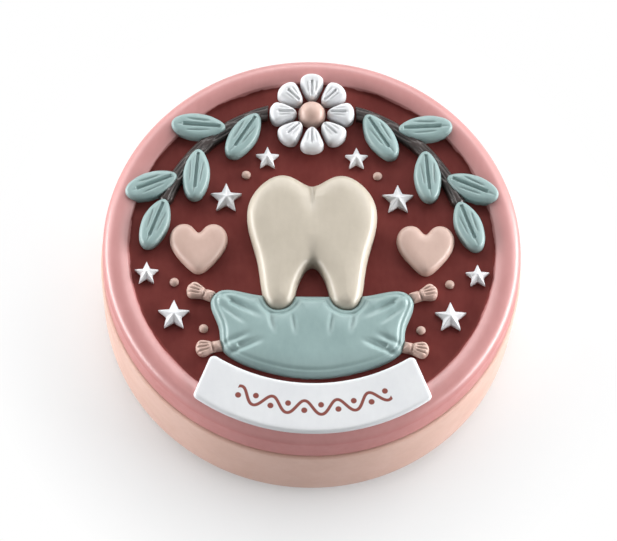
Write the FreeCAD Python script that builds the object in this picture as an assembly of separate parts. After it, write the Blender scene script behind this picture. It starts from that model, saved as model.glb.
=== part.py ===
import FreeCAD, Part

import math
import os

# Round keepsake box for milk teeth, cast in painted resin: a cup with a lift-off lid.
# The lid's sunk field carries a raised design, one solid for each painted motif.
# Millimetres. Z is up, the origin is under the middle of the box, and the plaque faces -Y.

Vector = FreeCAD.Vector

# Box body
base_radius = 36.0
base_wall_height = 16.9
base_draft = 0.3
lid_inset = 0.4
lid_height = 7.0
wall = 4.0
floor_thickness = 3.6
bottom_round = 2.5
cavity_round = 2.0
seam_round = 0.6

# Lid top
shoulder_round = 2.0
rim_width = 4.65
rim_crown = 0.7
rim_edge_round = 0.3
recess_depth = 1.4
recess_draft = 0.3
lid_hollow_depth = 1.0
lid_hollow_inset = 1.0
lid_hollow_round = 0.8

# Register between cup and lid
lip_height = 1.6
lip_thickness = 1.8
lip_round = 0.5
lip_clearance = 0.25
lip_end_gap = 0.4

# Felt discs
foot_felt_margin = 7.0
foot_felt_thickness = 1.0
foot_felt_proud = 0.4
liner_thickness = 1.2
felt_clearance = 0.1

# Plaque on the front of the rim
plaque_width = 9.0
plaque_margin = 1.5
plaque_half_angle = 36.0
plaque_inner_curve = 30.0
plaque_splay = 22.0
plaque_rise = 0.6
plaque_corner = 0.9
plaque_round = 0.6

# Field radius that the raised design is drawn for: the design is enlarged or reduced with the field.
# A motif's softness is the share of its outline's tightest bend that rounds its upper edge.
drawn_radius = 30.8

# Tooth motif
tooth_half_width = 11.0
tooth_height = 25.0
tooth_centre_y = 0.6
tooth_rise = 3.2
tooth_softness = 0.80
tooth_groove = 0.45

# Pillow motif
pillow_half_width = 17.4
pillow_overlap = 3.7
pillow_plaque_gap = 1.2
pillow_rise = 2.5
pillow_softness = 0.52
pillow_groove = 0.4
tassel_length = 4.4
tassel_half_width = 1.4
tassel_rise = 1.7
tassel_softness = 0.62

# Garland along the back of the field
garland_inset = 4.5
garland_end_angle = 20.0
stem_radius = 1.3
leaf_length = 9.4
leaf_half_width = 2.3
leaf_rise = 2.2
leaf_softness = 0.70
leaf_groove = 0.35
side_leaves = 4
leaf_splay = 38.0

# Daisy in the middle of the garland
daisy_inset = 6.0
petal_count = 8
petal_length = 4.7
petal_gap = 0.3
petal_rise = 2.4
petal_softness = 0.68
petal_groove = 0.3
button_radius = 2.3
button_rise = 3.0

# Hearts, stars and dots, mirrored to the left. A spot is (share of the drawn radius, angle).
heart_half_width = 4.9
heart_spot = (0.623, -1.2)
heart_rise = 2.1
heart_softness = 0.76
large_star = 2.85
small_star = 2.2
star_spots = ((0.557, 31.7, large_star), (0.920, -10.2, small_star), (0.857, -28.5, large_star),
              (0.593, 65.4, small_star))
star_waist = 0.46
star_edge = 0.7
star_rise = 1.7
dot_spots = ((0.572, 50.5), (0.781, -15.4), (0.762, -39.1))
dot_radius = 0.85
dot_rise = 0.7

# How close two lengths or volumes have to be to count as the same, and points tried along an outline
tolerance = 0.01
outline_samples = 240

# Levels and radii that follow from the sizes above
base_bottom = foot_felt_proud
lid_radius = base_radius - lid_inset
foot_felt_radius = base_radius - foot_felt_margin
seam = base_bottom + base_wall_height
rim_top = seam + lid_height
rim_edge = rim_top - rim_crown
field = rim_top - recess_depth
cavity_floor = base_bottom + floor_thickness
cavity_radius = base_radius - wall
lip_radius = cavity_radius + lip_thickness
lip_top = seam + lip_height
rebate_radius = lip_radius + lip_clearance
rebate_top = lip_top + lip_end_gap
ceiling = rebate_top + lid_hollow_depth
motif_root = (field + ceiling) / 2
column_height = 2 * lid_height
lid_hollow_radius = cavity_radius - lid_hollow_inset
field_radius = lid_radius - rim_width
plaque_outer = lid_radius - plaque_margin
plaque_inner = plaque_outer - plaque_width

# Places in the raised design, at the size it is drawn
fit = field_radius / drawn_radius
pillow_top_y = tooth_centre_y - tooth_height / 2 + pillow_overlap
pillow_bottom_y = (pillow_plaque_gap - plaque_inner) / fit
garland_radius = drawn_radius - garland_inset
daisy_centre = Vector(0, drawn_radius - daisy_inset, 0)
daisy_reach = button_radius + petal_gap + petal_length


def polar(radius, degrees, z=0.0):
    angle = math.radians(degrees)
    return Vector(radius * math.cos(angle), radius * math.sin(angle), z)


def line(start, end):
    return Part.LineSegment(start, end).toShape()


def turned(edges):
    """Solid turned about Z from a closed outline in the XZ plane."""
    return Part.Face(Part.Wire(edges)).revolve(Vector(0, 0, 0), Vector(0, 0, 1), 360)


def lines(points):
    """Straight edges along a list of (radius, z) points."""
    corners = [Vector(r, 0, z) for r, z in points]
    return [line(a, b) for a, b in zip(corners, corners[1:])]


def rounded(solid, fillet, *circles):
    """Rounds the circular edges of a turned solid, each named by its (radius, z)."""
    edges = []
    for edge in solid.Edges:
        if isinstance(edge.Curve, Part.Circle):
            place = (edge.Curve.Radius, edge.Curve.Center.z)
            if any(math.dist(place, circle) < tolerance for circle in circles):
                edges.append(edge)
    return solid.makeFillet(fillet, edges)


def disc(radius, z, thickness):
    return Part.makeCylinder(radius, thickness, Vector(0, 0, z))


def base_cup():
    felt_seat = foot_felt_thickness
    felt_edge = foot_felt_radius + felt_clearance
    cup = turned(lines([
        (0, felt_seat),
        (felt_edge, felt_seat),
        (felt_edge, base_bottom),
        (base_radius - base_draft, base_bottom),
        (base_radius, seam),
        (lip_radius, seam),
        (lip_radius, lip_top),
        (cavity_radius, lip_top),
        (cavity_radius, cavity_floor),
        (0, cavity_floor),
        (0, felt_seat),
    ]))
    cup = rounded(cup, bottom_round, (base_radius - base_draft, base_bottom))
    cup = rounded(cup, cavity_round, (cavity_radius, cavity_floor))
    cup = rounded(cup, seam_round, (base_radius, seam))
    return rounded(cup, lip_round, (lip_radius, lip_top), (cavity_radius, lip_top))


def lid_shell():
    """Lid with a sunk field inside a crowned rim, whose outer corner is round."""
    inner_edge = (field_radius + recess_draft, rim_edge)
    outer_edge = (lid_radius, rim_edge)
    crest = ((inner_edge[0] + outer_edge[0]) / 2, rim_top)
    crown = Part.Arc(*[Vector(r, 0, z) for r, z in (outer_edge, crest, inner_edge)]).toShape()
    shell = turned([crown] + lines([
        inner_edge,
        (field_radius, field),
        (0, field),
        (0, ceiling),
        (lid_hollow_radius, ceiling),
        (lid_hollow_radius, rebate_top),
        (rebate_radius, rebate_top),
        (rebate_radius, seam),
        (lid_radius, seam),
        outer_edge,
    ]))
    shell = rounded(shell, lid_hollow_round, (lid_hollow_radius, ceiling))
    shell = rounded(shell, seam_round, (lid_radius, seam))
    shell = rounded(shell, rim_edge_round, inner_edge)
    return rounded(shell, shoulder_round, outer_edge)


def smooth_loop(points):
    """Smooth closed curve through evenly spread points, by its control points."""
    poles = points
    for _ in range(60):
        before = poles[-1:] + poles[:-1]
        after = poles[1:] + poles[:1]
        poles = [(point * 6 - a - b) * 0.25 for point, a, b in zip(points, before, after)]
    curve = Part.BSplineCurve()
    curve.buildFromPoles(poles, True, 3)
    return curve.toShape()


def scaled(shares, length, half_width):
    return [(along * length, aside * half_width) for along, aside in shares]


def outline(half, x, y, heading):
    """Face of a shape that is the same on both sides of its axis, which points along the heading from (x, y).

    The half outline is (along, aside) points from one end of the axis to the other.
    """
    other_half = [(along, -aside) for along, aside in reversed(half[1:-1])]
    foot = Vector(x, y, motif_root)
    points = [foot + polar(along, heading) + polar(aside, heading - 90) for along, aside in half + other_half]
    return Part.Face(Part.Wire(smooth_loop(points)))


def column(face):
    """Prism on an outline that stands far above every motif."""
    return face.extrude(Vector(0, 0, column_height))


def softened(block, fillet):
    """The block with its upper edges rounded."""
    top = block.BoundBox.ZMax
    upper = [edge for edge in block.Edges if edge.BoundBox.ZMin > top - tolerance]
    return block.makeFillet(fillet, upper)


def tightest_bend(curve):
    """Smallest radius of a closed outline where it bulges out."""
    first, last = curve.FirstParameter, curve.LastParameter
    bends = []
    for sample in range(outline_samples):
        _, speed, turn = curve.getD2(first + (last - first) * sample / outline_samples)
        bends.append((speed.x * turn.y - speed.y * turn.x) / speed.Length ** 3)
    way = math.copysign(1, sum(bends))
    return 1 / max(way * bend for bend in bends)


def raised(face, rise, softness):
    """Motif that rises that much above the field, its upper edge rounded by a share of its tightest bend."""
    block = face.extrude(Vector(0, 0, field + rise - motif_root))
    return softened(block, softness * tightest_bend(face.OuterWire.Edges[0].Curve))


def grooved(motif, start, end, radius):
    """The motif with a round groove between two points."""
    along = end - start
    return motif.cut(Part.makeCylinder(radius, along.Length, start, along))


def plaque():
    """Band over the front of the rim: its outer edge follows the rim, and its inner edge is flatter."""
    height = rim_top + plaque_rise - motif_root
    corner = polar(plaque_outer, plaque_half_angle - 90)
    spread = math.tan(math.radians(plaque_splay))
    tip_y = corner.y + corner.x / spread
    foot_y = -2 * plaque_outer
    foot_x = (tip_y - foot_y) * spread
    wedge = polygon([Vector(x, y, motif_root) for x, y in ((0, tip_y), (-foot_x, foot_y), (foot_x, foot_y))])
    inner_middle = Vector(0, plaque_inner_curve - plaque_inner, motif_root)
    block = disc(plaque_outer, motif_root, height).common(wedge.extrude(Vector(0, 0, height)))
    block = block.cut(Part.makeCylinder(plaque_inner_curve, height, inner_middle))
    upright = [edge for edge in block.Edges if edge.BoundBox.ZLength > height / 2]
    return softened(block.makeFillet(plaque_corner, upright), plaque_round)


def tooth_outline():
    shares = (
        (-0.34, 0.0), (-0.62, 0.22), (-0.92, 0.34), (-0.96, 0.64), (-0.66, 0.78), (-0.24, 0.85),
        (0.20, 0.98), (0.62, 0.96), (0.93, 0.68), (0.98, 0.34), (0.85, 0.0),
    )
    return outline(scaled(shares, tooth_height / 2, tooth_half_width), 0, tooth_centre_y, 90)


def tooth():
    """Milk tooth with a groove that runs down from between its cusps and fades out."""
    body = raised(tooth_outline(), tooth_rise, tooth_softness)
    top = field + tooth_rise
    start = Vector(0, tooth_centre_y + 0.5 * tooth_height, top - tooth_groove)
    end = Vector(0, tooth_centre_y + 0.2 * tooth_height, top + tooth_groove)
    return grooved(body, start, end, tooth_groove)


def on_pillow(across, down, z=0.0):
    """Point of the pillow, by its share of the half width and of the depth from the top."""
    return Vector(across * pillow_half_width, pillow_top_y + down * (pillow_bottom_y - pillow_top_y), z)


def pillow():
    """Pillow with a sagging lower edge and a crease from each corner, cut away where the tooth lies."""
    shares = (
        (0.0, 0.06), (0.28, 0.06), (0.56, 0.04), (0.85, -0.01), (0.98, 0.15),
        (0.90, 0.42), (0.87, 0.66), (0.68, 0.83), (0.36, 0.95), (0.0, 1.0),
    )
    edge = [on_pillow(*share) for share in shares]
    body = raised(outline([(point.y, point.x) for point in edge], 0, 0, 90), pillow_rise, pillow_softness)
    top = field + pillow_rise
    for side in (-1, 1):
        for corner, middle in (((0.80, 0.15), (0.52, 0.34)), ((0.72, 0.66), (0.50, 0.56))):
            start = on_pillow(side * corner[0], corner[1], top)
            end = on_pillow(side * middle[0], middle[1], top + pillow_groove)
            body = grooved(body, start, end, pillow_groove)
    return body.cut(column(tooth_outline()))


def tassels(pillow_body):
    """One tassel at each corner of the pillow."""
    shares = ((-0.2, 0.0), (-0.07, 0.60), (0.22, 0.62), (0.52, 0.82), (0.82, 0.97), (1.0, 0.0))
    half = scaled(shares, tassel_length, tassel_half_width)
    solids = []
    for corner, heading in ((on_pillow(0.97, 0.06), 20.0), (on_pillow(0.87, 0.63), -10.0)):
        shape = raised(outline(half, corner.x, corner.y, heading), tassel_rise, tassel_softness)
        shape = shape.cut(pillow_body)
        solids += [shape, mirrored(shape)]
    return solids


def garland_stem():
    """Half-sunk round twig on the right of the daisy, with a domed tip."""
    last = 90 - math.degrees(daisy_reach / garland_radius / 2)
    span = last - garland_end_angle
    z = field + stem_radius / 3
    twig = Part.makeTorus(garland_radius, stem_radius, Vector(0, 0, z), Vector(0, 0, 1), -180, 180, span)
    twig.rotate(Vector(0, 0, 0), Vector(0, 0, 1), garland_end_angle)
    twig = twig.fuse(Part.makeSphere(stem_radius, polar(garland_radius, garland_end_angle, z)))
    clear = Part.makeCylinder(daisy_reach + petal_gap, column_height, daisy_centre + Vector(0, 0, motif_root))
    return twig.cut(clear).removeSplitter()


def leaf(foot, heading):
    """Pointed leaf with a groove for its midrib."""
    shares = ((0.0, 0.0), (0.10, 0.52), (0.36, 0.95), (0.65, 0.96), (0.91, 0.60), (1.0, 0.0))
    half = scaled(shares, leaf_length, leaf_half_width)
    body = raised(outline(half, foot.x, foot.y, heading), leaf_rise, leaf_softness)
    level = Vector(foot.x, foot.y, field + leaf_rise)
    start = level + polar(0.1 * leaf_length, heading)
    end = level + polar(0.8 * leaf_length, heading)
    return grooved(body, start, end, leaf_groove)


def garland_leaves(stem):
    """Leaves on the right of the daisy: by turns inside and outside the stem, and one at its tip."""
    first = 90 - math.degrees((daisy_reach + petal_gap) / garland_radius)
    step = (first - garland_end_angle) / side_leaves
    places = []
    for index in range(side_leaves):
        angle = first - (index + 0.3) * step
        turn = leaf_splay if index % 2 else -leaf_splay
        places.append((polar(garland_radius, angle), angle - 90 + turn))
    heading = garland_end_angle - 90
    places.append((polar(garland_radius, garland_end_angle) + polar(stem_radius / 2, heading), heading))
    return [leaf(foot, heading).cut(stem) for foot, heading in places]


def petal(heading):
    """One petal of the daisy, narrow enough to stand clear of the next."""
    half_step = math.pi / petal_count
    near = button_radius + petal_gap

    def edge(along, share):
        reach = near + along * petal_length
        room = reach * math.tan(half_step) - petal_gap / (2 * math.cos(half_step))
        return (reach, share * room)

    sides = [edge(0.12, 0.78), edge(0.42, 0.92), edge(0.74, 0.84), edge(0.94, 0.44)]
    half = [(near, 0.0)] + sides + [(daisy_reach, 0.0)]
    body = raised(outline(half, daisy_centre.x, daisy_centre.y, heading), petal_rise, petal_softness)
    level = daisy_centre + Vector(0, 0, field + petal_rise)
    start = level + polar(near + 0.1 * petal_length, heading)
    end = level + polar(near + 0.7 * petal_length, heading)
    return grooved(body, start, end, petal_groove)


def spot(share, angle):
    """Point of the field, by its share of the drawn radius and its angle."""
    return polar(share * drawn_radius, angle, field)


def dome(middle, radius, rise):
    """Cap of a sphere that stands on the field."""
    ball = (radius ** 2 + rise ** 2) / (2 * rise)
    above = Part.makeCylinder(2 * ball, 2 * ball, middle)
    return Part.makeSphere(ball, middle + Vector(0, 0, rise - ball)).common(above)


def heart():
    shares = (
        (-0.93, 0.0), (-0.62, 0.46), (-0.14, 0.84), (0.40, 1.0), (0.84, 0.74), (0.84, 0.28), (0.58, 0.0),
    )
    half = scaled(shares, heart_half_width, heart_half_width)
    middle = spot(*heart_spot)
    return raised(outline(half, middle.x, middle.y, 90), heart_rise, heart_softness)


def polygon(corners):
    return Part.Face(Part.makePolygon(corners + corners[:1]))


def star(middle, radius):
    """Five-pointed star: a low prism with a faceted point on top."""
    reach = [radius if index % 2 == 0 else star_waist * radius for index in range(10)]
    low = [middle + polar(reach[index], 90 + 36 * index) for index in range(10)]
    high = [corner + Vector(0, 0, star_edge) for corner in low]
    tip = middle + Vector(0, 0, star_rise)
    faces = [polygon(low)]
    for index in range(10):
        after = (index + 1) % 10
        faces.append(polygon([low[index], low[after], high[after], high[index]]))
        faces.append(polygon([high[index], high[after], tip]))
    solid = Part.Solid(Part.Shell(faces))
    solid.fix(tolerance, tolerance, tolerance)
    return solid


def mirrored(solid):
    return solid.mirror(Vector(0, 0, 0), Vector(1, 0, 0))


def fitted(motif):
    """The motif enlarged or reduced with the field."""
    return motif.scaled(fit, Vector(0, 0, field))


def cleared(body, others):
    """The body cut back where it would run into any of the others."""
    for other in others:
        if body.BoundBox.intersect(other.BoundBox) and body.common(other).Volume > tolerance:
            body = body.cut(other)
    return body


def middle_motifs():
    """Motifs on the middle line of the lid, by name."""
    pillow_body = pillow()
    petals = [petal(90 + index * 360 / petal_count) for index in range(petal_count)]
    return {
        "tooth": tooth(),
        "pillow": pillow_body,
        "pillow_tassels": Part.makeCompound(tassels(pillow_body)),
        "daisy_petals": Part.makeCompound(petals),
        "daisy_button": dome(daisy_centre + Vector(0, 0, field), button_radius, button_rise),
    }


def right_motifs():
    """Motifs on the right of the middle line, by name."""
    stem = garland_stem()
    motifs = {"garland_stem": stem}
    for index, body in enumerate(garland_leaves(stem), 1):
        motifs["leaf_%d" % index] = body
    motifs["heart"] = heart()
    for index, (share, angle, radius) in enumerate(star_spots, 1):
        motifs["star_%d" % index] = star(spot(share, angle), radius)
    motifs["dots"] = Part.makeCompound([dome(spot(*place), dot_radius, dot_rise) for place in dot_spots])
    return motifs


def all_nodes():
    """Every node of the box by name. Each motif lies face to face on the lid and clear of those before it."""
    lid = lid_shell()
    liner_radius = cavity_radius - cavity_round - felt_clearance
    nodes = {
        "base_cup": base_cup(),
        "lid_shell": lid,
        "foot_felt": disc(foot_felt_radius, 0, foot_felt_thickness),
        "liner_felt": disc(liner_radius, cavity_floor, liner_thickness),
        "plaque": plaque().cut(lid),
    }
    seated = [nodes["plaque"]]
    for name, body in middle_motifs().items():
        nodes[name] = cleared(fitted(body).cut(lid), seated)
        seated.append(nodes[name])
    for name, body in right_motifs().items():
        nodes[name + "_right"] = cleared(fitted(body).cut(lid), seated)
        nodes[name + "_left"] = mirrored(nodes[name + "_right"])
        seated.append(nodes[name + "_right"])
    return nodes


def main():
    os.makedirs("parts", exist_ok=True)
    for name, shape in all_nodes().items():
        shape.exportStep("parts/%s.step" % name)
        print(name, len(shape.Solids), "solid(s)", round(shape.Volume, 1), "mm3", shape.isValid())


main()
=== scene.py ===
import math

import bpy
import numpy as np
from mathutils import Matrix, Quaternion, Vector, noise
from mathutils.bvhtree import BVHTree
from mathutils.geometry import convex_hull_2d


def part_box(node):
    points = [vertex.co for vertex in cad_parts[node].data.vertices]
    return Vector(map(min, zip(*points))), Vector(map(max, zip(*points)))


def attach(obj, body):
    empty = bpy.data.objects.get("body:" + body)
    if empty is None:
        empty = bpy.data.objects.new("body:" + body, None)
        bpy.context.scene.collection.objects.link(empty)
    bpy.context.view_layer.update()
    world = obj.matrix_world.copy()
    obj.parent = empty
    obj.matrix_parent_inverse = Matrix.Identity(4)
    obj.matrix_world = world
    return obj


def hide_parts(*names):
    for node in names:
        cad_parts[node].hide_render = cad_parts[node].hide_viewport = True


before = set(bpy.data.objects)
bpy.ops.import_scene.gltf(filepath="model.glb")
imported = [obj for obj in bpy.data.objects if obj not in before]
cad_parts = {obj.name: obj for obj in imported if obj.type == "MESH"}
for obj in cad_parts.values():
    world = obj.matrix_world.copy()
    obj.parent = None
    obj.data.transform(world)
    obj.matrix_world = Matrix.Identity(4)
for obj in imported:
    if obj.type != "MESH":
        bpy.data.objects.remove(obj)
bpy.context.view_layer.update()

# Round keepsake box for milk teeth: a turned cup and lid, a raised painted design on the lid,
# and felt inside and below
mm = 0.001
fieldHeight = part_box("dots_right")[0].z     # the dots stand on the sunk field of the lid


def deselectAll():
    if bpy.context.object and bpy.context.object.mode != "OBJECT":
        bpy.ops.object.mode_set(mode="OBJECT")
    bpy.ops.object.select_all(action="DESELECT")


def makeActive(piece):
    deselectAll()
    piece.select_set(True)
    bpy.context.view_layer.objects.active = piece


def editAll(piece):
    makeActive(piece)
    bpy.ops.object.mode_set(mode="EDIT")
    bpy.ops.mesh.select_all(action="SELECT")


def selectPart(piece, wanted):
    # edit mode with only the faces that the test wants selected
    editAll(piece)
    bpy.ops.mesh.select_mode(type="FACE")
    bpy.ops.mesh.select_all(action="DESELECT")
    bpy.ops.object.mode_set(mode="OBJECT")
    for face in piece.data.polygons:
        face.select = wanted(face)
    bpy.ops.object.mode_set(mode="EDIT")


def applyModifier(piece, kind, **settings):
    makeActive(piece)
    modifier = piece.modifiers.new(kind.title(), kind)
    for key, value in settings.items():
        setattr(modifier, key, value)
    bpy.ops.object.modifier_apply(modifier=modifier.name)


def dress(piece, finish, body, slot, *nodes):
    # last step of every piece: outward faces, smooth shading, paint, and the body it rides on
    editAll(piece)
    bpy.ops.mesh.normals_make_consistent(inside=False)
    makeActive(piece)
    bpy.ops.object.shade_smooth()
    piece.data.materials.clear()
    piece.data.materials.append(finish)
    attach(piece, body)
    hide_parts(*nodes)


# Finishes. Colours are screen levels, and lengths are millimetres unless mm stands beside them.

noiseLow, noiseHigh = 0.3, 0.7      # most of a cloud's values lie between these


def screen(*levels):
    linear = [((c / 255 + 0.055) / 1.055) ** 2.4 if c > 10 else c / 255 / 12.92 for c in levels]
    return (*linear, 1.0)


def addNode(tree, kind, inputs=None, **settings):
    node = tree.nodes.new(kind)
    for key, value in settings.items():
        setattr(node, key, value)
    for key, value in (inputs or {}).items():
        if isinstance(value, bpy.types.NodeSocket):
            tree.links.new(value, node.inputs[key])
        else:
            node.inputs[key].default_value = value
    return node


def math2(tree, operation, first, second=0.0):
    return addNode(tree, "ShaderNodeMath", {0: first, 1: second}, operation=operation).outputs[0]


def diagonal(tree, first, second):
    squares = [math2(tree, "POWER", side, 2.0) for side in (first, second)]
    return math2(tree, "SQRT", math2(tree, "ADD", *squares))


def blend(tree, first, second, share):
    # this share of the first value and the rest of the second
    rest = math2(tree, "MULTIPLY", second, 1 - share)
    return math2(tree, "ADD", math2(tree, "MULTIPLY", first, share), rest)


def remap(tree, value, low, high, newLow=0.0, newHigh=1.0):
    inputs = {0: value, 1: low, 2: high, 3: newLow, 4: newHigh}
    return addNode(tree, "ShaderNodeMapRange", inputs).outputs[0]


def mixColour(tree, share, first, second):
    return addNode(tree, "ShaderNodeMix", {0: share, 6: first, 7: second}, data_type="RGBA").outputs[2]


def shades(tree, value, look):
    # from the deep shade to the pale one over the look's range of values
    share = remap(tree, value, *look["shadeRange"])
    return mixColour(tree, share, screen(*look["deep"]), screen(*look["pale"]))


def cloud(tree, place, size, detail=2.0, stretch=(1, 1, 1), shift=0.0):
    placing = {"Vector": place, "Scale": stretch, "Location": (shift, shift, shift)}
    mapped = addNode(tree, "ShaderNodeMapping", placing).outputs[0]
    inputs = {"Vector": mapped, "Scale": 1 / (size * mm), "Detail": detail}
    return addNode(tree, "ShaderNodeTexNoise", inputs).outputs[0]


def spread(tree, patches, low, high):
    # a cloud's values, stretched to run from low to high
    return remap(tree, patches, noiseLow, noiseHigh, low, high)


def bumped(tree, height, depth, under=None):
    # a bump of this depth, on top of another one where it is given
    inputs = {"Height": height, "Distance": depth * mm, "Strength": 1.0}
    if under is not None:
        inputs["Normal"] = under
    return addNode(tree, "ShaderNodeBump", inputs).outputs[0]


def startFinish(name):
    material = bpy.data.materials.new(name)
    material.use_nodes = True
    tree = material.node_tree
    return material, tree, addNode(tree, "ShaderNodeTexCoord").outputs["Object"]


def splitAxes(tree, place):
    return addNode(tree, "ShaderNodeSeparateXYZ", {0: place}).outputs


def axisReach(tree, axes):
    # distance from the upright axis of the box
    return diagonal(tree, axes[0], axes[1])


def paintCoat(tree, place, look):
    # two close shades in slow patches and fine brush strokes
    patches = cloud(tree, place, look["patch"], detail=3.0)
    strokes = cloud(tree, place, look["stroke"], stretch=look["brushed"], shift=0.3)
    return shades(tree, blend(tree, patches, strokes, look["patchShare"]), look)


def glossPatches(tree, place, look):
    return cloud(tree, place, look["glossPatch"], detail=3.0, shift=0.7)


def varnish(tree, place, look, roughness=None):
    # satin varnish over cast resin: uneven gloss, slow waves and a fine peel
    shader = tree.nodes["Principled BSDF"]
    shader.inputs["IOR"].default_value = look["ior"]
    shader.inputs["Coat Weight"].default_value = look["coat"]
    shader.inputs["Coat Roughness"].default_value = look["coatRoughness"]
    shader.inputs["Coat IOR"].default_value = look["coatIor"]
    if roughness is None:
        roughness = spread(tree, glossPatches(tree, place, look), *look["roughness"])
    tree.links.new(roughness, shader.inputs["Roughness"])
    waves = bumped(tree, cloud(tree, place, look["wave"], shift=0.5), look["waveDepth"])
    peel = bumped(tree, cloud(tree, place, look["peel"], detail=3.0), look["peelDepth"], waves)
    tree.links.new(peel, shader.inputs["Normal"])
    return shader


# the last two keys set the painted shade that darkens the paint in carved lines
commonLook = {"patch": 9.0, "stroke": 0.9, "brushed": (1.0, 0.45, 1.0), "patchShare": 0.75,
              "shadeRange": (0.34, 0.66), "roughness": (0.36, 0.48), "glossPatch": 2.6, "ior": 1.4,
              "coat": 0.3, "coatRoughness": 0.26, "coatIor": 1.5, "wave": 3.4, "waveDepth": 0.05,
              "peel": 0.5, "peelDepth": 0.006, "grooveShadeLevel": 0.84, "grooveShadeShare": 0.55}
roseLook = {**commonLook, "deep": (177, 116, 114), "pale": (187, 127, 125), "ior": 1.2, "coat": 1.0,
            "coatRoughness": 0.4, "coatIor": 1.75, "glossStart": 0.4, "glossFade": 1.0}
maroonLook = {**commonLook, "deep": (103, 43, 40), "pale": (120, 56, 52), "patch": 6.0,
              "roughness": (0.46, 0.56)}
peachLook = {**commonLook, "deep": (199, 162, 148), "pale": (208, 173, 160), "coat": 0.0, "ior": 1.25}
whiteLook = {**commonLook, "deep": (213, 215, 218), "pale": (221, 223, 225)}
creamLook = {**commonLook, "deep": (184, 175, 160), "pale": (195, 186, 171), "roughness": (0.28, 0.4)}
sageLook = {**commonLook, "deep": (132, 156, 155), "pale": (144, 168, 167)}
beigeLook = {**commonLook, "deep": (191, 161, 149), "pale": (201, 173, 161), "roughness": (0.42, 0.54)}
brownLook = {**commonLook, "deep": (42, 32, 30), "pale": (54, 42, 39), "roughness": (0.26, 0.36)}


def plainFinish(name, look):
    material, tree, place = startFinish(name)
    shader = varnish(tree, place, look)
    tree.links.new(paintCoat(tree, place, look), shader.inputs["Base Color"])
    return material


creepLook = {"height": 0.16, "wobble": 0.7, "size": 1.3, "soft": 0.04, "colour": (112, 52, 46)}


def motifFinish(name, look):
    # painted shade darkens the paint in the carved lines, and field paint creeps up the foot of the motif
    material, tree, place = startFinish(name)
    shader = varnish(tree, place, look)
    # the carved attribute marks where painted shade goes in the grooves
    carved = addNode(tree, "ShaderNodeAttribute", attribute_name="carved").outputs["Fac"]
    lines = math2(tree, "MULTIPLY", carved, look["grooveShadeShare"])
    grooveShadeColour = screen(*[level * look["grooveShadeLevel"] for level in look["deep"]])
    colour = mixColour(tree, lines, paintCoat(tree, place, look), grooveShadeColour)
    height, soft = creepLook["height"] * mm, creepLook["soft"] * mm
    swing = height * creepLook["wobble"]
    wobble = spread(tree, cloud(tree, place, creepLook["size"], detail=1.0), -swing, swing)
    above = math2(tree, "SUBTRACT", splitAxes(tree, place)[2], fieldHeight + height)
    creep = remap(tree, math2(tree, "ADD", above, wobble), soft, -soft)
    tree.links.new(mixColour(tree, creep, colour, screen(*creepLook["colour"])), shader.inputs["Base Color"])
    return material


paintEdge = {"offset": 0.15, "soft": 0.06, "slowSize": 5.0, "slowSwing": 0.14, "quickSize": 1.2,
             "quickSwing": 0.05, "depth": 1.0, "fade": 0.2}


def lidFinish(name, fieldRadius, shoulderHeight):
    # rose all over, and maroon inside a hand-painted edge on the step
    material, tree, place = startFinish(name)
    axes = splitAxes(tree, place)
    edge = axisReach(tree, axes)
    for patches, swing in (
            (cloud(tree, place, paintEdge["slowSize"], detail=1.0, shift=0.2), paintEdge["slowSwing"] * mm),
            (cloud(tree, place, paintEdge["quickSize"], detail=1.0), paintEdge["quickSwing"] * mm)):
        edge = math2(tree, "ADD", edge, spread(tree, patches, -swing, swing))
    middle, soft = fieldRadius + paintEdge["offset"] * mm, paintEdge["soft"] * mm
    inside = remap(tree, edge, middle + soft, middle - soft)
    foot = fieldHeight - paintEdge["depth"] * mm
    upper = remap(tree, axes[2], foot, foot + paintEdge["fade"] * mm)
    field = math2(tree, "MULTIPLY", inside, upper)
    colour = mixColour(tree, field, paintCoat(tree, place, roseLook), paintCoat(tree, place, maroonLook))
    uneven = glossPatches(tree, place, roseLook)
    rose = spread(tree, uneven, *roseLook["roughness"])
    maroon = spread(tree, uneven, *maroonLook["roughness"])
    change = math2(tree, "MULTIPLY", field, math2(tree, "SUBTRACT", maroon, rose))
    shader = varnish(tree, place, roseLook, math2(tree, "ADD", rose, change))
    tree.links.new(colour, shader.inputs["Base Color"])
    # the rim has the glossy coat, the upright wall and the field stay satin
    gloss = shoulderHeight + roseLook["glossStart"] * mm
    rim = remap(tree, axes[2], gloss, gloss + roseLook["glossFade"] * mm, 0.0, roseLook["coat"])
    coat = math2(tree, "MULTIPLY", rim, math2(tree, "SUBTRACT", 1.0, field))
    tree.links.new(coat, shader.inputs["Coat Weight"])
    return material


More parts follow.
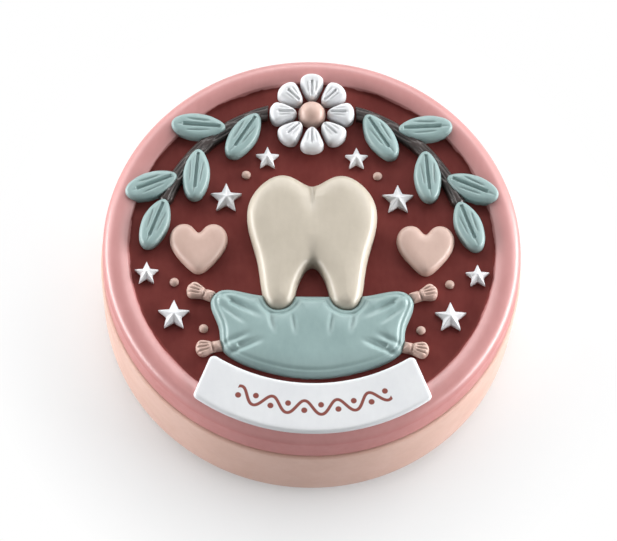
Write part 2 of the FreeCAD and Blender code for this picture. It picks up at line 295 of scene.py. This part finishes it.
def waveBand(material, look):
    # a painted wave round the plaque with a dot in each bend
    tree = material.node_tree
    shader = tree.nodes["Principled BSDF"]
    plain = shader.inputs["Base Color"].links[0].from_socket
    axes = splitAxes(tree, addNode(tree, "ShaderNodeTexCoord").outputs["Object"])
    angle = math2(tree, "ARCTAN2", axes[0], math2(tree, "MULTIPLY", axes[1], -1.0))
    across = math2(tree, "SUBTRACT", axisReach(tree, axes), look["radius"])
    turn = 2 * math.pi / look["period"]
    phase = math2(tree, "MULTIPLY", angle, turn * look["radius"])
    swing = math2(tree, "SINE", phase)
    slope = math2(tree, "MULTIPLY", math2(tree, "COSINE", phase), turn * look["height"])
    rise = math2(tree, "SUBTRACT", across, math2(tree, "MULTIPLY", swing, look["height"]))
    gap = math2(tree, "DIVIDE", math2(tree, "ABSOLUTE", rise), diagonal(tree, slope, 1.0))
    line = remap(tree, gap, look["line"] + look["soft"], look["line"] - look["soft"])
    bend = math2(tree, "SUBTRACT", math2(tree, "FRACT", math2(tree, "DIVIDE", phase, math.pi)), 0.5)
    along = math2(tree, "MULTIPLY", bend, look["period"] / 2)
    offset = math2(tree, "MULTIPLY", math2(tree, "SIGN", swing), look["dotOffset"])
    spot = diagonal(tree, along, math2(tree, "ADD", across, offset))
    dot = remap(tree, spot, look["dot"] + look["soft"], look["dot"] - look["soft"])
    end = math.radians(look["halfAngle"])
    within = remap(tree, math2(tree, "ABSOLUTE", angle), end + look["soft"] / look["radius"], end)
    painted = math2(tree, "MULTIPLY", math2(tree, "MAXIMUM", line, dot), within)
    tree.links.new(mixColour(tree, painted, plain, screen(*look["colour"])), shader.inputs["Base Color"])
    return material


woolLook = {"deep": (98, 48, 47), "pale": (132, 72, 69), "shadeRange": (0.42, 0.72), "fibre": 0.5,
            "slender": 0.16, "tuft": 2.2, "fibreShare": 0.7, "nap": 0.12, "roughness": 0.95, "sheen": 0.35}


def feltFinish(name, look):
    # matted fibres: two wool shades in short tangled streaks, with a soft sheen
    material, tree, place = startFinish(name)
    shader = tree.nodes["Principled BSDF"]
    slender = look["slender"]
    lengthwise = cloud(tree, place, look["fibre"], detail=4.0, stretch=(1.0, slender, 1.0))
    crosswise = cloud(tree, place, look["fibre"], detail=4.0, stretch=(slender, 1.0, 1.0), shift=0.4)
    tufts = cloud(tree, place, look["tuft"], detail=3.0, shift=0.1)
    both = blend(tree, math2(tree, "MAXIMUM", lengthwise, crosswise), tufts, look["fibreShare"])
    tree.links.new(shades(tree, both, look), shader.inputs["Base Color"])
    shader.inputs["Roughness"].default_value = look["roughness"]
    shader.inputs["Sheen Weight"].default_value = look["sheen"]
    tree.links.new(bumped(tree, both, look["nap"]), shader.inputs["Normal"])
    return material


lidTop = {"radius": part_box("lid_shell")[1].x, "crest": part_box("lid_shell")[1].z, "shoulder": 2.0 * mm,
          "rimWidth": 4.65 * mm, "crown": 0.7 * mm, "draft": 0.3 * mm, "edgeRound": 0.3 * mm,
          "edgeStart": 0.3, "footRound": 0.35 * mm}
lidTop["fieldRadius"] = lidTop["radius"] - lidTop["rimWidth"]
lidTop["edgeRadius"] = lidTop["fieldRadius"] + lidTop["draft"]
lidTop["edgeHeight"] = lidTop["crest"] - lidTop["crown"]
# the rim's crown is an arc, and the shoulder a smaller arc that runs on from it to the upright wall
halfRim = (lidTop["radius"] - lidTop["edgeRadius"]) / 2
lidTop["crownSize"] = (halfRim ** 2 + lidTop["crown"] ** 2) / (2 * lidTop["crown"])
lidTop["crownRadius"] = lidTop["edgeRadius"] + halfRim
lidTop["crownHeight"] = lidTop["crest"] - lidTop["crownSize"]
lidTop["shoulderRadius"] = lidTop["radius"] - lidTop["shoulder"]
innerSize = lidTop["crownSize"] - lidTop["shoulder"]
joinAngle = math.asin((lidTop["shoulderRadius"] - lidTop["crownRadius"]) / innerSize)
lidTop["shoulderHeight"] = lidTop["crownHeight"] + innerSize * math.cos(joinAngle)
lidTop["joinRadius"] = lidTop["crownRadius"] + lidTop["crownSize"] * math.sin(joinAngle)

peachFinish = plainFinish("peachResin", peachLook)
roseFinish = lidFinish("roseResin", lidTop["fieldRadius"], lidTop["shoulderHeight"])
whiteFinish = motifFinish("whitePaint", whiteLook)
creamFinish = motifFinish("creamPaint", creamLook)
sageFinish = motifFinish("sagePaint", sageLook)
beigeFinish = motifFinish("beigePaint", beigeLook)
brownFinish = motifFinish("brownPaint", brownLook)
woolFinish = feltFinish("woolFelt", woolLook)
print("finishes ready")


# Turned pieces: a circle extruded and resized ring by ring along a profile of (radius, height)

poleRing = 0.4 * mm     # radius of a profile's first ring


def arc(radius, height, size, start, end, steps):
    angles = [math.radians(start + (end - start) * step / steps) for step in range(steps + 1)]
    return [(radius + size * math.cos(angle), height + size * math.sin(angle)) for angle in angles]


def turned(name, profile, segments):
    deselectAll()
    radius, height = profile[0]
    bpy.ops.mesh.primitive_circle_add(vertices=segments, radius=radius, location=(0, 0, height))
    piece = bpy.context.object
    piece.name = piece.data.name = name
    bpy.ops.object.transform_apply(location=True, rotation=False, scale=False)
    editAll(piece)
    for nextRadius, nextHeight in profile[1:]:
        bpy.ops.mesh.extrude_region_move(TRANSFORM_OT_translate={"value": (0, 0, nextHeight - height)})
        share = nextRadius / radius
        bpy.ops.transform.resize(value=(share, share, 1), center_override=(0, 0, nextHeight))
        radius, height = nextRadius, nextHeight
    bpy.ops.mesh.merge(type="CENTER")
    bpy.ops.object.mode_set(mode="OBJECT")
    for vertex in piece.data.vertices:      # first ring, closed to a pole like the last
        vertex.select = vertex.index < segments
    bpy.ops.object.mode_set(mode="EDIT")
    bpy.ops.mesh.extrude_region_move(TRANSFORM_OT_translate={"value": (0, 0, 0)})
    bpy.ops.mesh.merge(type="CENTER")
    editAll(piece)
    bpy.ops.mesh.normals_make_consistent(inside=False)
    return piece


def handCast(piece, depth, size):
    # slow unevenness of a hand-poured casting, only ever inwards
    makeActive(piece)
    normals = [vertex.normal.copy() for vertex in piece.data.vertices]
    for vertex, normal in zip(piece.data.vertices, normals):
        vertex.co -= normal * depth * (0.5 + 0.5 * noise.noise(vertex.co / size))


# floorRings are shares of the cavity's radius
cup = {"radius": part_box("base_cup")[1].x, "bottom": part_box("base_cup")[0].z,
       "lipTop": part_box("base_cup")[1].z, "seam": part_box("lid_shell")[0].z, "wall": 4.0 * mm,
       "floor": 3.6 * mm, "lip": 1.8 * mm, "draft": 0.3 * mm, "draftBend": 0.6, "bottomRound": 2.5 * mm,
       "seamRound": 0.6 * mm, "lipRound": 0.5 * mm, "cavityRound": 2.0 * mm, "seatDepth": 0.6 * mm,
       "seatRing": 12 * mm, "seatRadius": 29.1 * mm, "sideSteps": 12, "cavitySteps": 9,
       "floorRings": (0.8, 0.6, 0.4, 0.2, 0.02), "segments": 288, "unevenness": 0.05 * mm, "swell": 14 * mm}


def cupProfile():
    inner = cup["radius"] - cup["wall"]
    lip = inner + cup["lip"]
    lipSide = cup["lipTop"] - cup["lipRound"]
    seat = cup["bottom"] + cup["seatDepth"]
    floor = cup["bottom"] + cup["floor"]
    foot = cup["radius"] - cup["draft"]
    sideLow, sideHigh = cup["bottom"] + cup["bottomRound"], cup["seam"] - cup["seamRound"]
    profile = [(radius, seat) for radius in (poleRing, cup["seatRing"], cup["seatRadius"])]
    profile.append((cup["seatRadius"], cup["bottom"]))
    profile += arc(foot - cup["bottomRound"], sideLow, cup["bottomRound"], -90, 0, 12)
    for step in range(1, cup["sideSteps"]):
        share = step / cup["sideSteps"]
        lean = cup["draft"] * share ** cup["draftBend"]
        profile.append((foot + lean, sideLow + (sideHigh - sideLow) * share))
    profile += arc(cup["radius"] - cup["seamRound"], sideHigh, cup["seamRound"], 0, 90, 8)
    profile += [(lip, cup["seam"]), (lip, lipSide)]
    profile += arc(lip - cup["lipRound"], lipSide, cup["lipRound"], 10, 90, 6)
    profile += arc(inner + cup["lipRound"], lipSide, cup["lipRound"], 90, 180, 6)
    for step in range(1, cup["cavitySteps"] - 1):
        profile.append((inner, cup["lipTop"] + (floor - cup["lipTop"]) * step / cup["cavitySteps"]))
    profile += arc(inner - cup["cavityRound"], floor + cup["cavityRound"], cup["cavityRound"], 0, -90, 8)
    profile += [(inner * share, floor) for share in cup["floorRings"]]
    return profile


baseCup = turned("baseCup", cupProfile(), cup["segments"])
handCast(baseCup, cup["unevenness"], cup["swell"])
dress(baseCup, peachFinish, "cup", "peach_resin", "base_cup")
print("cup turned:", len(baseCup.data.polygons), "faces")


# ceilingRings are shares of the hollow's radius, fieldRings of the field's
lid = {"seamRound": 0.6 * mm, "rebate": 34.05 * mm, "rebateTop": 19.3 * mm, "hollow": 31.0 * mm,
       "hollowRound": 0.8 * mm, "ceiling": fieldHeight - 2.6 * mm, "ceilingRings": (0.25, 0.5, 0.75),
       "wallSteps": 6, "fieldRings": (0.94, 0.85, 0.7, 0.55, 0.4, 0.25, 0.1, 0.01), "segments": 320,
       "unevenness": 0.06 * mm, "swell": 11 * mm}


def lidProfile():
    outer, seam = lidTop["radius"], cup["seam"]
    hollow, ceiling, hollowRound = lid["hollow"], lid["ceiling"], lid["hollowRound"]
    profile = [(poleRing, ceiling)]
    profile += [(hollow * share, ceiling) for share in lid["ceilingRings"]]
    profile += arc(hollow - hollowRound, ceiling - hollowRound, hollowRound, 90, 0, 8)
    profile += [(hollow, lid["rebateTop"]), (lid["rebate"], lid["rebateTop"]), (lid["rebate"], seam)]
    low = seam + lid["seamRound"]
    wall = lidTop["shoulderHeight"] - low
    profile += arc(outer - lid["seamRound"], low, lid["seamRound"], -90, 0, 8)
    profile += [(outer, low + wall * step / lid["wallSteps"]) for step in range(1, lid["wallSteps"])]
    join = 90 - math.degrees(joinAngle)
    profile += arc(lidTop["shoulderRadius"], lidTop["shoulderHeight"], lidTop["shoulder"], 0, join, 16)
    edge, crownSize = lidTop["edgeRound"], lidTop["crownSize"]
    crownEnd = 90 + math.degrees(math.asin(halfRim / crownSize) - lidTop["edgeStart"] * edge / crownSize)
    profile += arc(lidTop["crownRadius"], lidTop["crownHeight"], crownSize, join, crownEnd, 24)[1:]
    # rounded edge of the rim, step down to the field, and a soft foot
    lean = math.degrees(math.atan2(lidTop["draft"], lidTop["edgeHeight"] - fieldHeight))
    lastRadius, lastHeight = profile[-1]
    normal = math.radians(crownEnd)
    edgeRadius, edgeHeight = lastRadius - edge * math.cos(normal), lastHeight - edge * math.sin(normal)
    profile += arc(edgeRadius, edgeHeight, edge, crownEnd, 180 - lean, 7)[1:]
    field, foot = lidTop["fieldRadius"], lidTop["footRound"]
    profile += arc(field - foot, fieldHeight + foot, foot, -lean, -90, 6)
    profile += [(field * share, fieldHeight) for share in lid["fieldRings"]]
    return profile


lidShell = turned("lidShell", lidProfile(), lid["segments"])
handCast(lidShell, lid["unevenness"], lid["swell"])
dress(lidShell, roseFinish, "lid", "rose_resin", "lid_shell")
print("lid turned:", len(lidShell.data.polygons), "faces")


# Raised motifs: each starts as a copy of its CAD solid, sunk a little into the lid,
# and is remeshed, smoothed and carved. Lengths in the looks are millimetres.

wallTilt, underTilt = 0.2, -0.3     # limits of a face's upward normal, for walls and for undersides
wallLevel = fieldHeight + 0.5 * mm      # height at which the distance from a wall is taken
mergeGap = 0.002 * mm
carveLevel = 0.25 * mm      # strokes cut only what stands this far above the lid
broadStroke = 0.4       # wider strokes are soft dents, and get no painted shade in them


def lidSurface(places):
    # height of the lid under each point: field, step, crown and shoulder
    reach = np.hypot(places[:, 0], places[:, 1])
    slope = (reach - lidTop["fieldRadius"]) / lidTop["draft"]
    step = fieldHeight + np.clip(slope, 0, 1) * (lidTop["edgeHeight"] - fieldHeight)
    across = np.clip(reach - lidTop["crownRadius"], -halfRim, halfRim)
    crown = lidTop["crownHeight"] + np.sqrt(lidTop["crownSize"] ** 2 - across ** 2)
    over = np.clip(reach - lidTop["shoulderRadius"], 0, lidTop["shoulder"])
    shoulder = lidTop["shoulderHeight"] + np.sqrt(lidTop["shoulder"] ** 2 - over ** 2)
    rim = np.where(reach < lidTop["joinRadius"], crown, shoulder)
    return np.where(reach < lidTop["edgeRadius"], step, rim)


def readPlaces(piece):
    places = np.empty(len(piece.data.vertices) * 3, np.float32)
    piece.data.vertices.foreach_get("co", places)
    return places.reshape(-1, 3).astype(float)


def writePlaces(piece, places):
    piece.data.vertices.foreach_set("co", places.astype(np.float32).ravel())
    piece.data.update()


def nodePlan(node):
    return readPlaces(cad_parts[node])[:, :2]


def planAxis(places):
    # middle, long direction and half length of points seen from above
    offsets = places - places.mean(0)
    direction = np.linalg.eigh(offsets.T @ offsets)[1][:, 1]
    reach = offsets @ direction
    middle = places.mean(0) + direction * (reach.max() + reach.min()) / 2
    return middle, direction, (reach.max() - reach.min()) / 2


def strokeGap(places, start, end):
    # plan distance of each point from a straight stroke, and how far along the stroke that is
    start, along = np.array(start[:2]), np.array(end[:2]) - np.array(start[:2])
    offset = places[:, :2] - start
    share = np.clip(offset @ along / max(along @ along, 1e-12), 0, 1)     # a stroke may have no length
    return np.linalg.norm(offset - share[:, None] * along, axis=1), share


def edgeDistance(node, places, look):
    # plan distance of each point from the upright wall of the CAD solid, or from a leaf's bulging outline
    if look.get("bulging"):
        plan = nodePlan(node)
        corners = plan[convex_hull_2d([Vector(point) for point in plan])]
        nearest = np.full(len(places), np.inf)
        for start, end in zip(corners, np.roll(corners, -1, axis=0)):
            nearest = np.minimum(nearest, strokeGap(places, start, end)[0])
        return nearest
    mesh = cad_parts[node].data
    walls = [tuple(face.vertices) for face in mesh.polygons if abs(face.normal.z) < wallTilt]
    tree = BVHTree.FromPolygons([vertex.co for vertex in mesh.vertices], walls)
    return np.array([tree.find_nearest((x, y, wallLevel))[3] for x, y, z in places])


def sunkCopy(name, node, look):
    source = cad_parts[node]
    piece = bpy.data.objects.new(name, source.data.copy())
    bpy.context.scene.collection.objects.link(piece)
    editAll(piece)
    bpy.ops.mesh.remove_doubles(threshold=mergeGap)
    selectPart(piece, lambda face: face.normal.z < underTilt)
    bpy.ops.transform.translate(value=(0, 0, -look["sink"] * mm))
    applyModifier(piece, "REMESH", mode="VOXEL", voxel_size=look["voxel"] * mm)
    applyModifier(piece, "SMOOTH", factor=0.5, iterations=look["smooth"])
    return piece


def puff(piece, node, look):
    # pillowy top: lower at the edge, full height further in
    places = readPlaces(piece)
    ground = lidSurface(places)
    share = np.clip(edgeDistance(node, places, look) / (look["reach"] * mm), 0, 1)
    swell = look["edge"] + (1 - look["edge"]) * np.sqrt(1 - (1 - share) ** 2)
    rise = places[:, 2] - ground
    places[:, 2] = np.where(rise > 0, ground + rise * swell, places[:, 2])
    writePlaces(piece, places)


def piping(piece, node, look):
    # a shallow seam all round, a little in from the edge
    places = readPlaces(piece)
    gap = (edgeDistance(node, places, look) - look["pipingInset"] * mm) / (look["pipingWidth"] * mm)
    upper = places[:, 2] > lidSurface(places) + look["pipingLevel"] * mm
    places[:, 2] -= np.where(upper, np.exp(-gap ** 2), 0) * look["pipingDepth"] * mm
    writePlaces(piece, places)


def carve(piece, strokes):
    # carved lines: each stroke is (start, end, depth, width), deepest in its middle
    places = readPlaces(piece)
    carved = np.zeros(len(places))
    upper = places[:, 2] > lidSurface(places) + carveLevel
    for start, end, depth, width in strokes:
        gap, share = strokeGap(places, start, end)
        broad = width > broadStroke
        fade = (1 - (2 * share - 1) ** 2) ** 2 if broad else 1 - (2 * share - 1) ** 4
        cut = np.where(upper, np.exp(-(gap / (width * mm)) ** 2) * fade, 0)
        places[:, 2] -= cut * depth * mm
        if not broad:
            carved = np.maximum(carved, cut)
    writePlaces(piece, places)
    # the narrow cuts are stored as the carved attribute, where the finish paints shade into the grooves
    attribute = piece.data.attributes.new("carved", "FLOAT", "POINT")
    attribute.data.foreach_set("value", carved.astype(np.float32))


def motif(name, node, look, strokes=()):
    piece = sunkCopy(name, node, look)
    if look["edge"] < 1:
        puff(piece, node, look)
    if "pipingInset" in look:
        piping(piece, node, look)
    carve(piece, strokes)
    return piece


# dents start beyond the top or the middle of the tooth, and end beyond its middle
toothLook = {"voxel": 0.16, "smooth": 14, "sink": 0.8, "edge": 0.55, "reach": 4.4,
             "topDent": {"start": 4.0, "end": 2.0, "depth": 0.5, "width": 1.5},
             "rootDent": {"start": -7.0, "end": 1.0, "depth": 0.4, "width": 1.3}}


def toothDents():
    low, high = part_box("tooth")
    middle = (low.y + high.y) / 2
    strokes = []
    for origin, dent in ((high.y, toothLook["topDent"]), (middle, toothLook["rootDent"])):
        start, end = (0, origin + dent["start"] * mm), (0, middle + dent["end"] * mm)
        strokes.append((start, end, dent["depth"], dent["width"]))
    return strokes


tooth = motif("milkTooth", "tooth", toothLook, toothDents())
dress(tooth, creamFinish, "lid", "cream_paint", "tooth")
print("tooth carved:", len(tooth.data.polygons), "faces")


# folds are (start, end, depth), with places as shares of the half width and of the way down from the top
pillowLook = {"voxel": 0.15, "smooth": 10, "sink": 0.8, "edge": 0.5, "reach": 4.2, "pipingInset": 1.0,
              "pipingWidth": 0.28, "pipingDepth": 0.22, "pipingLevel": 0.6, "foldWidth": 0.5,
              "folds": [((1.00, 0.00), (0.46, 0.36), 0.50), ((1.02, 0.10), (0.60, 0.46), 0.34),
                        ((0.90, 0.78), (0.44, 0.58), 0.50), ((0.94, 0.68), (0.58, 0.50), 0.34),
                        ((0.44, 0.20), (0.36, 0.56), 0.36), ((0.20, 0.24), (0.16, 0.58), 0.30)]}


def pillowFolds():
    low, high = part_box("pillow")
    half, depth = high.x, high.y - low.y
    strokes = []
    for side in (-1, 1):
        for *ends, cut in pillowLook["folds"]:
            start, end = [(side * across * half, high.y - down * depth) for across, down in ends]
            strokes.append((start, end, cut, pillowLook["foldWidth"]))
    return strokes


pillow = motif("pillowCushion", "pillow", pillowLook, pillowFolds())
dress(pillow, sageFinish, "lid", "sage_paint", "pillow")
print("pillow carved:", len(pillow.data.polygons), "faces")


# neck and end are shares of a tassel's half length, strands are offsets from its middle line
tasselLook = {"voxel": 0.1, "smooth": 4, "sink": 0.7, "edge": 0.6, "reach": 1.2, "neck": -0.25, "end": 0.96,
              "tieReach": 1.5, "tieDepth": 0.4, "tieWidth": 0.2, "strands": (-0.62, 0.0, 0.62),
              "strandStart": 0.5, "narrow": 0.7, "flare": 1.35, "strandDepth": 0.3, "strandWidth": 0.15}


def tasselLines(look):
    # a tie round each neck and strands from there to the end
    strokes = []
    plan = nodePlan("pillow_tassels")
    upper = plan[:, 1] > (plan[:, 1].min() + plan[:, 1].max()) / 2
    for side in (-1, 1):
        for half in (upper, ~upper):
            middle, along, reach = planAxis(plan[half & (plan[:, 0] * side > 0)])
            along = along * np.sign(along[0] * side)
            aside = np.array([-along[1], along[0]])
            neck, tip = [middle + along * reach * look[key] for key in ("neck", "end")]
            tie = aside * look["tieReach"] * mm
            strokes.append((neck - tie, neck + tie, look["tieDepth"], look["tieWidth"]))
            for offset in look["strands"]:
                start = neck + (along * look["strandStart"] + aside * offset * look["narrow"]) * mm
                end = tip + aside * offset * look["flare"] * mm
                strokes.append((start, end, look["strandDepth"], look["strandWidth"]))
    return strokes


tassels = motif("pillowTassels", "pillow_tassels", tasselLook, tasselLines(tasselLook))
dress(tassels, beigeFinish, "lid", "beige_paint", "pillow_tassels")
print("tassels carved:", len(tassels.data.polygons), "faces")


# lines are (turn in radians, near end, far end), with the ends as shares of the daisy's radius
petalLook = {"voxel": 0.1, "smooth": 5, "sink": 0.7, "edge": 0.6, "reach": 1.2, "count": 8,
             "lines": ((0.0, 0.42, 0.86), (0.14, 0.50, 0.80), (-0.14, 0.50, 0.80)),
             "lineDepth": 0.15, "lineWidth": 0.15}
buttonLook = {"voxel": 0.12, "smooth": 4, "sink": 0.7, "edge": 1.0}


def petalLines():
    low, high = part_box("daisy_petals")
    middle = np.array([0.0, (low.y + high.y) / 2])
    radius = (high.x - low.x) / 2
    strokes = []
    for index in range(petalLook["count"]):
        angle = 2 * math.pi * index / petalLook["count"]
        for turn, near, far in petalLook["lines"]:
            direction = np.array([math.cos(angle + turn), math.sin(angle + turn)])
            start, end = [middle + direction * radius * share for share in (near, far)]
            strokes.append((start, end, petalLook["lineDepth"], petalLook["lineWidth"]))
    return strokes


daisyPetals = motif("daisyPetals", "daisy_petals", petalLook, petalLines())
dress(daisyPetals, whiteFinish, "lid", "white_paint", "daisy_petals")
daisyButton = motif("daisyButton", "daisy_button", buttonLook)
dress(daisyButton, beigeFinish, "lid", "beige_paint", "daisy_button")
print("daisy carved")


# rib and groove give their ends as shares of the leaf's half length
leafLook = {"voxel": 0.1, "smooth": 5, "sink": 0.7, "edge": 0.66, "reach": 1.3, "bulging": True,
            "rib": (-0.92, 0.8), "ribDepth": 0.2, "ribWidth": 0.18, "groove": (-0.42, 0.46),
            "grooveAside": (0.85, 1.1), "grooveDepth": 0.2, "grooveWidth": 0.16}
# each row of bark is (offset from the stem's middle line, first angle, length), with angles in degrees
stemLook = {"voxel": 0.1, "smooth": 3, "sink": 0.5, "edge": 1.0, "barkDepth": 0.26, "barkWidth": 0.17,
            "bark": ((-0.62, 0.0, 9.0), (0.0, 5.0, 11.0), (0.6, 2.0, 8.0)), "barkLean": 0.12,
            "barkGap": 1.5, "plainTip": 3.0}


def leafLines(node):
    # a midrib and two shorter grooves beside it
    middle, along, half = planAxis(nodePlan(node))
    aside = np.array([-along[1], along[0]])
    start, end = [middle + along * half * share for share in leafLook["rib"]]
    strokes = [(start, end, leafLook["ribDepth"], leafLook["ribWidth"])]
    for side in (-1, 1):
        start, end = [middle + along * half * share + aside * side * offset * mm
                      for share, offset in zip(leafLook["groove"], leafLook["grooveAside"])]
        strokes.append((start, end, leafLook["grooveDepth"], leafLook["grooveWidth"]))
    return strokes


def barkLines(node):
    # uneven lengthwise cuts along the bent stem
    plan = nodePlan(node)
    angles = np.degrees(np.arctan2(plan[:, 1], np.abs(plan[:, 0])))
    reaches = np.hypot(plan[:, 0], plan[:, 1])
    radius = (reaches.min() + reaches.max()) / 2
    side = np.sign(plan[:, 0].mean())
    lean = stemLook["barkLean"]
    strokes = []
    for offset, turn, length in stemLook["bark"]:
        angle = angles.min() + turn
        while angle < angles.max() - stemLook["plainTip"]:
            ends = []
            for at, shift in ((angle, lean), (angle + length, -lean)):
                reach = radius + (offset + shift) * mm
                ends.append((side * reach * math.cos(math.radians(at)), reach * math.sin(math.radians(at))))
            strokes.append((*ends, stemLook["barkDepth"], stemLook["barkWidth"]))
            angle += length + stemLook["barkGap"]
    return strokes


for side in ("right", "left"):
    node = "garland_stem_" + side
    stem = motif("garlandStem." + side, node, stemLook, barkLines(node))
    dress(stem, brownFinish, "lid", "brown_paint", node)
    for index in range(1, 6):
        node = "leaf_%d_%s" % (index, side)
        leaf = motif("leaf%d.%s" % (index, side), node, leafLook, leafLines(node))
        dress(leaf, sageFinish, "lid", "sage_paint", node)
print("garland carved")


heartLook = {"voxel": 0.12, "smooth": 8, "sink": 0.7, "edge": 0.55, "reach": 2.2}
starLook = {"voxel": 0.1, "smooth": 7, "sink": 0.6, "edge": 1.0}
dotLook = {"voxel": 0.1, "smooth": 2, "sink": 0.5, "edge": 1.0}
for side in ("right", "left"):
    heart = motif("heart." + side, "heart_" + side, heartLook)
    dress(heart, beigeFinish, "lid", "beige_paint", "heart_" + side)
    for index in range(1, 5):
        node = "star_%d_%s" % (index, side)
        star = motif("star%d.%s" % (index, side), node, starLook)
        dress(star, whiteFinish, "lid", "white_paint", node)
    dots = motif("dots." + side, "dots_" + side, dotLook)
    dress(dots, beigeFinish, "lid", "beige_paint", "dots_" + side)
print("hearts, stars and dots carved")


plaqueLook = {"voxel": 0.18, "smooth": 6, "sink": 0.8, "edge": 1.0}
waveLook = {"radius": 29.7 * mm, "period": 5.6 * mm, "height": 1.2 * mm, "line": 0.27 * mm,
            "soft": 0.05 * mm, "dot": 0.5 * mm, "dotOffset": 0.5 * mm, "halfAngle": 25.4,
            "colour": (120, 54, 44)}
plaqueFinish = waveBand(motifFinish("plaquePaint", whiteLook), waveLook)
plaque = motif("rimPlaque", "plaque", plaqueLook)
dress(plaque, plaqueFinish, "lid", "white_paint", "plaque")
print("plaque carved:", len(plaque.data.polygons), "faces")


# Felt discs: cut from flat felt, laid on the floor of the cup and set in its foot

feltLook = {"segments": 220, "rings": 56, "fuzz": 0.06, "tuft": 0.8, "fine": 3.1, "ragged": 1.7,
            "deepest": -0.5}


def feltDisc(name, node, look):
    low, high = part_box(node)
    fuzz = look["fuzz"] * mm
    radius = (high.x - low.x) / 2 - fuzz
    deselectAll()
    bpy.ops.mesh.primitive_circle_add(
        vertices=look["segments"], radius=radius, fill_type="NGON", location=(0, 0, low.z))
    disc = bpy.context.object
    disc.name = disc.data.name = name
    bpy.ops.object.transform_apply(location=True, rotation=False, scale=False)
    editAll(disc)
    for _ in range(look["rings"]):
        bpy.ops.mesh.inset(thickness=radius / (look["rings"] + 1), depth=0)
    bpy.ops.mesh.poke()
    bpy.ops.mesh.select_all(action="SELECT")
    bpy.ops.mesh.extrude_region_move(TRANSFORM_OT_translate={"value": (0, 0, high.z - low.z - fuzz)})
    makeActive(disc)
    for vertex in disc.data.vertices:
        place = vertex.co / (look["tuft"] * mm)
        lift = noise.noise(place) * 0.5 + noise.noise(place * look["fine"]) * 0.5
        if vertex.co.z > (low.z + high.z) / 2:      # the lower face stays flat
            vertex.co.z += max(lift, look["deepest"]) * fuzz
        swing = 1 + noise.noise(place * look["ragged"]) * fuzz / radius
        vertex.co.x, vertex.co.y = vertex.co.x * swing, vertex.co.y * swing
    return disc


linerFelt = feltDisc("linerFelt", "liner_felt", feltLook)
dress(linerFelt, woolFinish, "cup", "felt", "liner_felt")
footFelt = feltDisc("footFelt", "foot_felt", feltLook)
dress(footFelt, woolFinish, "cup", "felt", "foot_felt")
print("felts cut")


# Floor, light and camera, in metres

floorLook = {"size": 3.0, "white": (0.89, 0.925, 0.94, 1), "fadeStart": 0.030, "fadeEnd": 0.058}


def seenRay(tree):
    # 1 where the camera sees the backdrop, directly, mirrored or through glass
    path = addNode(tree, "ShaderNodeLightPath").outputs
    mirrored = math2(tree, "MAXIMUM", path["Is Glossy Ray"], path["Is Transmission Ray"])
    return math2(tree, "MAXIMUM", path["Is Camera Ray"], mirrored)


def floorFinish():
    # matt white round the box, that keeps its shadow, fading to the plain white of the backdrop
    material, tree, place = startFinish("whiteSweep")
    tree.nodes.remove(tree.nodes["Principled BSDF"])
    matt = addNode(tree, "ShaderNodeBsdfDiffuse", {"Color": floorLook["white"]})
    glow = addNode(tree, "ShaderNodeEmission", {"Strength": 1.0})
    reach = addNode(tree, "ShaderNodeVectorMath", {0: place}, operation="LENGTH").outputs["Value"]
    far = remap(tree, reach, floorLook["fadeStart"], floorLook["fadeEnd"])
    faded = math2(tree, "MULTIPLY", seenRay(tree), far)
    sweep = addNode(tree, "ShaderNodeMixShader", {0: faded, 1: matt.outputs[0], 2: glow.outputs[0]})
    tree.links.new(sweep.outputs[0], tree.nodes["Material Output"].inputs["Surface"])
    return material


deselectAll()
bpy.ops.mesh.primitive_plane_add(size=floorLook["size"])
floor = bpy.context.object
floor.name = "floorSweep"
floor.data.materials.append(floorFinish())

# World: plain white to look at, and a weak fill for the light
worldLook = {"fill": 0.09, "seen": 1.0}
world = bpy.data.worlds.new("studio")
bpy.context.scene.world = world
world.use_nodes = True
sky = world.node_tree.nodes["Background"]
sky.inputs["Color"].default_value = (1, 1, 1, 1)
strength = remap(world.node_tree, seenRay(world.node_tree), 0, 1, worldLook["fill"], worldLook["seen"])
world.node_tree.links.new(strength, sky.inputs["Strength"])

# Softboxes: place, width, height, watts. All face the box.
softboxes = {
    "leftBox": ((-0.60, 0.02, 0.12), 0.66, 0.17, 4.9),
    "rightBox": ((0.60, 0.02, 0.13), 0.66, 0.20, 6.6),
    "leftCorner": ((-0.58, 0.58, 0.46), 0.42, 0.55, 2.5),
    "rightCorner": ((0.58, 0.58, 0.60), 0.42, 0.60, 3.2),
    "backBox": ((0.0, 0.80, 0.50), 0.80, 0.55, 4.9),
    "topBox": ((0.0, -0.05, 0.75), 0.40, 0.30, 0.3),
}
aim = Vector((0, 0, 0.02))
for name, (place, width, height, watts) in softboxes.items():
    bpy.ops.object.light_add(type="AREA", location=place)
    lamp = bpy.context.object
    lamp.name = name
    lamp.data.shape = "RECTANGLE"
    lamp.data.size, lamp.data.size_y = width, height
    lamp.data.energy = watts
    lamp.rotation_euler = (aim - Vector(place)).to_track_quat("-Z", "Y").to_euler()

# Camera: over the front of the box with a long lens, rolled a little, the box low in the frame
shot = {"distance": 0.641, "azimuth": -3.7, "elevation": 67.0, "roll": 3.9, "tilt": 0.487, "lens": 212.9,
        "sensor": 36.0}
azimuth, elevation = math.radians(shot["azimuth"]), math.radians(shot["elevation"])
level = math.cos(elevation)
toCamera = Vector((math.sin(azimuth) * level, -math.cos(azimuth) * level, math.sin(elevation)))
bpy.ops.object.camera_add(location=toCamera * shot["distance"])
camera = bpy.context.object
camera.name = "frontView"
rolled = Quaternion((0, 0, 1), math.radians(shot["roll"]))
tilted = Quaternion((1, 0, 0), math.radians(shot["tilt"]))
camera.rotation_euler = ((-toCamera).to_track_quat("-Z", "Y") @ rolled @ tilted).to_euler()
camera.data.lens = shot["lens"]
camera.data.sensor_width = shot["sensor"]
bpy.context.scene.camera = camera
bpy.context.scene.view_settings.view_transform = "Standard"
print("floor, light and camera set")
